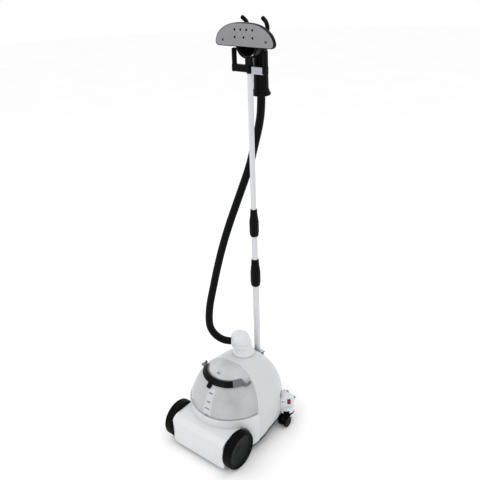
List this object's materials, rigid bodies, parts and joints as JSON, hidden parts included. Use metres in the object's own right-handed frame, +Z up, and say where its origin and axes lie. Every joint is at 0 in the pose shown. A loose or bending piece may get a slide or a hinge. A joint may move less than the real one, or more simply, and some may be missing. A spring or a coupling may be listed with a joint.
{
  "type": "garment steamer",
  "caption": "Upright garment steamer: wheeled base with lift-out water tank, telescopic pole with a head cradle, and a steam head on a flexible hose.",
  "frame": {"origin": "middle of the footprint on the floor", "axes": "+Z up; +X to the user's right hand when facing the front; the front faces -Y"},
  "size_m": [0.352, 0.458, 1.448],
  "materials": {
    "white_plastic": "smooth glossy moulding",
    "shell_plastic": "satin moulding",
    "tank_plastic": "smoky translucent moulding",
    "black_plastic": "fine grain",
    "grey_plastic": "satin",
    "dark_hub": "fine grain",
    "tyre_rubber": "smooth tread",
    "seal_rubber": "matt",
    "hose_cover": "woven sleeve",
    "pole_metal": "pale gloss",
    "plate_metal": "bead blasted",
    "steel": "plain",
    "boiler_metal": "cast",
    "red_lens": "translucent",
    "rocker_red": "smooth"
  },
  "bodies": {
    "base": {"axle_clips": "steel", "boiler": "boiler_metal", "boiler_lid": "boiler_metal", "chassis": "black_plastic", "chassis_screws": "steel", "cord_gland": "seal_rubber", "dock_seal": "seal_rubber", "feed_pipe": "seal_rubber", "front_axle": "steel", "front_deck": "white_plastic", "heating_element": "steel", "indicator_lens": "red_lens", "left_pod": "white_plastic", "left_shell": "shell_plastic", "lower_tube": "pole_metal", "outlet_cap": "white_plastic", "outlet_gasket": "seal_rubber", "pedal_spring": "steel", "pole_socket": "shell_plastic", "right_pod": "white_plastic", "right_shell": "shell_plastic", "steam_hose": "hose_cover", "steam_pipe": "boiler_metal", "switch_frame": "black_plastic", "tank_dock": "shell_plastic", "terminal_block": "black_plastic", "thermostat": "steel"},
    "left_wheel": {"left_hub": "dark_hub", "left_tyre": "tyre_rubber"},
    "right_wheel": {"right_hub": "dark_hub", "right_tyre": "tyre_rubber"},
    "left_fork": {"left_caster_fork": "black_plastic"},
    "right_fork": {"right_caster_fork": "black_plastic"},
    "left_rollers": {"left_caster_wheels": "black_plastic"},
    "right_rollers": {"right_caster_wheels": "black_plastic"},
    "tank": {"tank_shell": "tank_plastic", "tank_dome": "tank_plastic", "tank_cap": "black_plastic", "tank_latch": "black_plastic", "valve_spring": "steel", "valve_stem": "grey_plastic"},
    "tank_band": {"tank_handle": "grey_plastic"},
    "rocker": {"power_rocker": "rocker_red"},
    "pedal": {"foot_pedal": "grey_plastic"},
    "lever": {"pole_lever": "grey_plastic"},
    "low_lock": {"lower_lock": "black_plastic"},
    "middle": {"middle_tube": "pole_metal"},
    "high_lock": {"upper_lock": "black_plastic"},
    "upper": {"upper_tube": "pole_metal", "pole_bracket": "black_plastic", "bracket_sleeve": "grey_plastic"},
    "head": {"steam_plate": "plate_metal", "plate_gasket": "seal_rubber", "head_body": "black_plastic", "plate_screws": "steel", "handle_left": "black_plastic", "handle_right": "black_plastic", "head_steam_tube": "seal_rubber", "hose_collar": "black_plastic", "steam_hose_top": "hose_cover"}
  },
  "joints": [
    {"name": "left_wheel_spin", "type": "hinge", "parent": "base", "child": "left_wheel", "pos_m": [-0.135, -0.161, 0.068], "axis": [1, 0, 0], "continuous": true},
    {"name": "left_caster_swivel", "type": "hinge", "parent": "base", "child": "left_fork", "pos_m": [-0.158, 0.104, 0.05], "axis": [0, 0, 1], "continuous": true},
    {"name": "left_caster_roll", "type": "hinge", "parent": "left_fork", "child": "left_rollers", "pos_m": [-0.158, 0.093, 0.0195], "axis": [1, 0, 0], "continuous": true},
    {"name": "right_wheel_spin", "type": "hinge", "parent": "base", "child": "right_wheel", "pos_m": [0.135, -0.161, 0.068], "axis": [1, 0, 0], "continuous": true},
    {"name": "right_caster_swivel", "type": "hinge", "parent": "base", "child": "right_fork", "pos_m": [0.158, 0.104, 0.05], "axis": [0, 0, 1], "continuous": true},
    {"name": "right_caster_roll", "type": "hinge", "parent": "right_fork", "child": "right_rollers", "pos_m": [0.158, 0.093, 0.0195], "axis": [1, 0, 0], "continuous": true},
    {"name": "tank_lift", "type": "slide", "parent": "base", "child": "tank", "axis": [0, -0.7659, 0.6429], "range_m": [0, 0.12]},
    {"name": "band_swing", "type": "hinge", "parent": "tank", "child": "tank_band", "pos_m": [0, -0.04, 0.261], "axis": [-1, 0, 0], "range_deg": [0, 66]},
    {"name": "power_rock", "type": "hinge", "parent": "base", "child": "rocker", "pos_m": [0.15948, 0.11718, 0.103], "axis": [0.766, 0.6428, 0], "range_deg": [-8, 8]},
    {"name": "pedal_press", "type": "hinge", "parent": "base", "child": "pedal", "pos_m": [0.132, 0.141, 0.109], "axis": [0, 1, 0], "range_deg": [0, 8], "stiffness_Nm_per_rad": 0.6, "springref_deg": -5.73, "deforming": ["pedal_spring"]},
    {"name": "pole_lever_turn", "type": "hinge", "parent": "base", "child": "lever", "pos_m": [0.0185, 0.142, 0.236], "axis": [0, 1, 0], "range_deg": [-20, 4]},
    {"name": "low_lock_twist", "type": "hinge", "parent": "base", "child": "low_lock", "pos_m": [0, 0.142, 0.59], "axis": [0, 0, 1], "range_deg": [0, 90]},
    {"name": "pole_slide", "type": "slide", "parent": "base", "child": "upper", "axis": [0, 0, 1], "range_m": [-0.3, 0], "deforming": ["steam_hose"]},
    {"name": "middle_slide", "type": "slide", "parent": "base", "child": "middle", "axis": [0, 0, 1], "range_m": [-0.08, 0]},
    {"name": "high_lock_twist", "type": "hinge", "parent": "middle", "child": "high_lock", "pos_m": [0, 0.142, 0.78], "axis": [0, 0, 1], "range_deg": [0, 90]},
    {"name": "head_lift", "type": "slide", "parent": "upper", "child": "head", "axis": [0, 0, 1], "range_m": [0, 0.09], "deforming": ["steam_hose_top"]}
  ],
  "couplings": [
    {"joint": "middle_slide", "follows": "pole_slide", "ratio": 0.25}
  ]
}
